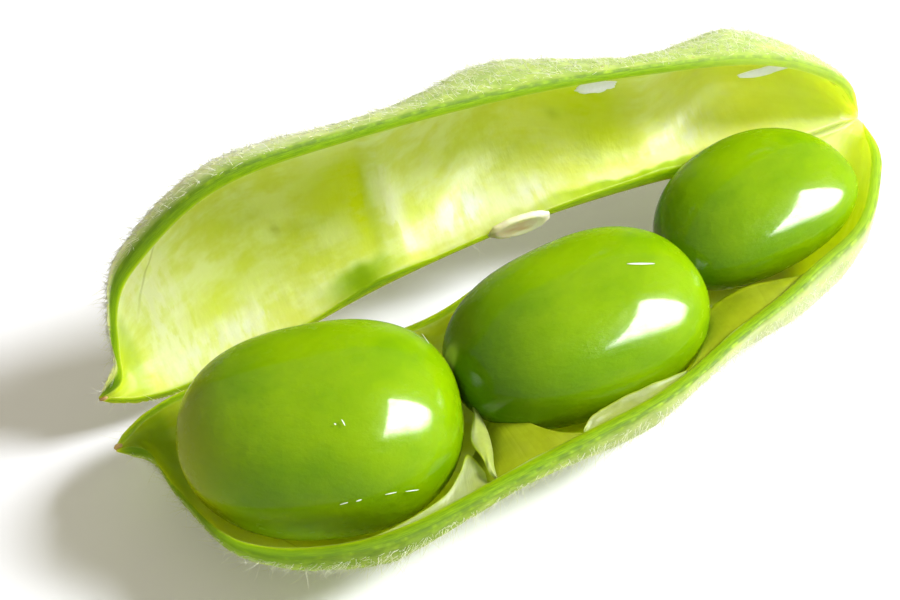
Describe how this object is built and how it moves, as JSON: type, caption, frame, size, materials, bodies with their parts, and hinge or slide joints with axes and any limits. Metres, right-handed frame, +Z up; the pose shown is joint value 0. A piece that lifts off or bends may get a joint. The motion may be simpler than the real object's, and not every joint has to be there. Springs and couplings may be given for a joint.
{
  "type": "opened edamame pod",
  "caption": "Fresh green soybean pod split open at the beak, its two hairy valves still joined at the stem end, with three plump glossy beans resting in the lying valve.",
  "frame": {"origin": "middle of the footprint, on the surface the pod lies on", "axes": "+X along the pod towards the stem end, +Y towards the standing valve's back, +Z up"},
  "size_m": [0.0476, 0.022, 0.0187],
  "materials": {
    "pod_wall": "fresh green plant wall, downy outside, pale and moist inside",
    "bean_skin": "smooth moist bean skin, glossy bright green"
  },
  "bodies": {
    "root": {"pod_shell": "pod_wall", "bean_stem_end": "bean_skin", "bean_middle": "bean_skin", "bean_beak_end": "bean_skin"}
  },
  "joints": []
}
